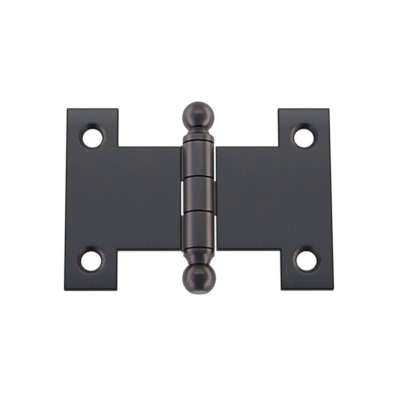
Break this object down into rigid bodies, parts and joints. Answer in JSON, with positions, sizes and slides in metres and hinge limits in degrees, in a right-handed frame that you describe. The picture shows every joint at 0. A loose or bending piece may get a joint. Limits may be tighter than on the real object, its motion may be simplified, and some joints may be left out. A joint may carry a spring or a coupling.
{
  "type": "parliament hinge",
  "caption": "Small H-shaped hinge laid open flat: broad projecting ears with countersunk screw holes, a knuckled barrel and ball finials on its pin.",
  "frame": {"origin": "on the pin axis, half way along the barrel, with the hinge laid open flat", "axes": "+X from the leaf with the outer knuckles to the leaf with the centre knuckle, +Y along the pin to the finial with the rounded shoulder, +Z out of the countersunk front faces"},
  "size_m": [0.108, 0.0799, 0.0136],
  "materials": {
    "leaf_bronze": "dark oil-rubbed bronze, satin",
    "finial_bronze": "dark oil-rubbed bronze, satin",
    "pin_steel": "turned steel, darkened and oiled"
  },
  "bodies": {
    "left_side": {"left_leaf": "leaf_bronze"},
    "right_side": {"right_leaf": "leaf_bronze"},
    "pin_assembly": {"hinge_pin": "pin_steel", "top_finial": "finial_bronze", "bottom_finial": "finial_bronze"}
  },
  "joints": [
    {"name": "leaf_swing", "type": "hinge", "parent": "left_side", "child": "right_side", "pos_m": [0, 0, 0], "axis": [0, -1, 0], "range_deg": [-130, 180]},
    {"name": "pin_spin", "type": "hinge", "parent": "left_side", "child": "pin_assembly", "pos_m": [0, 0, 0], "axis": [0, 1, 0], "continuous": true}
  ]
}
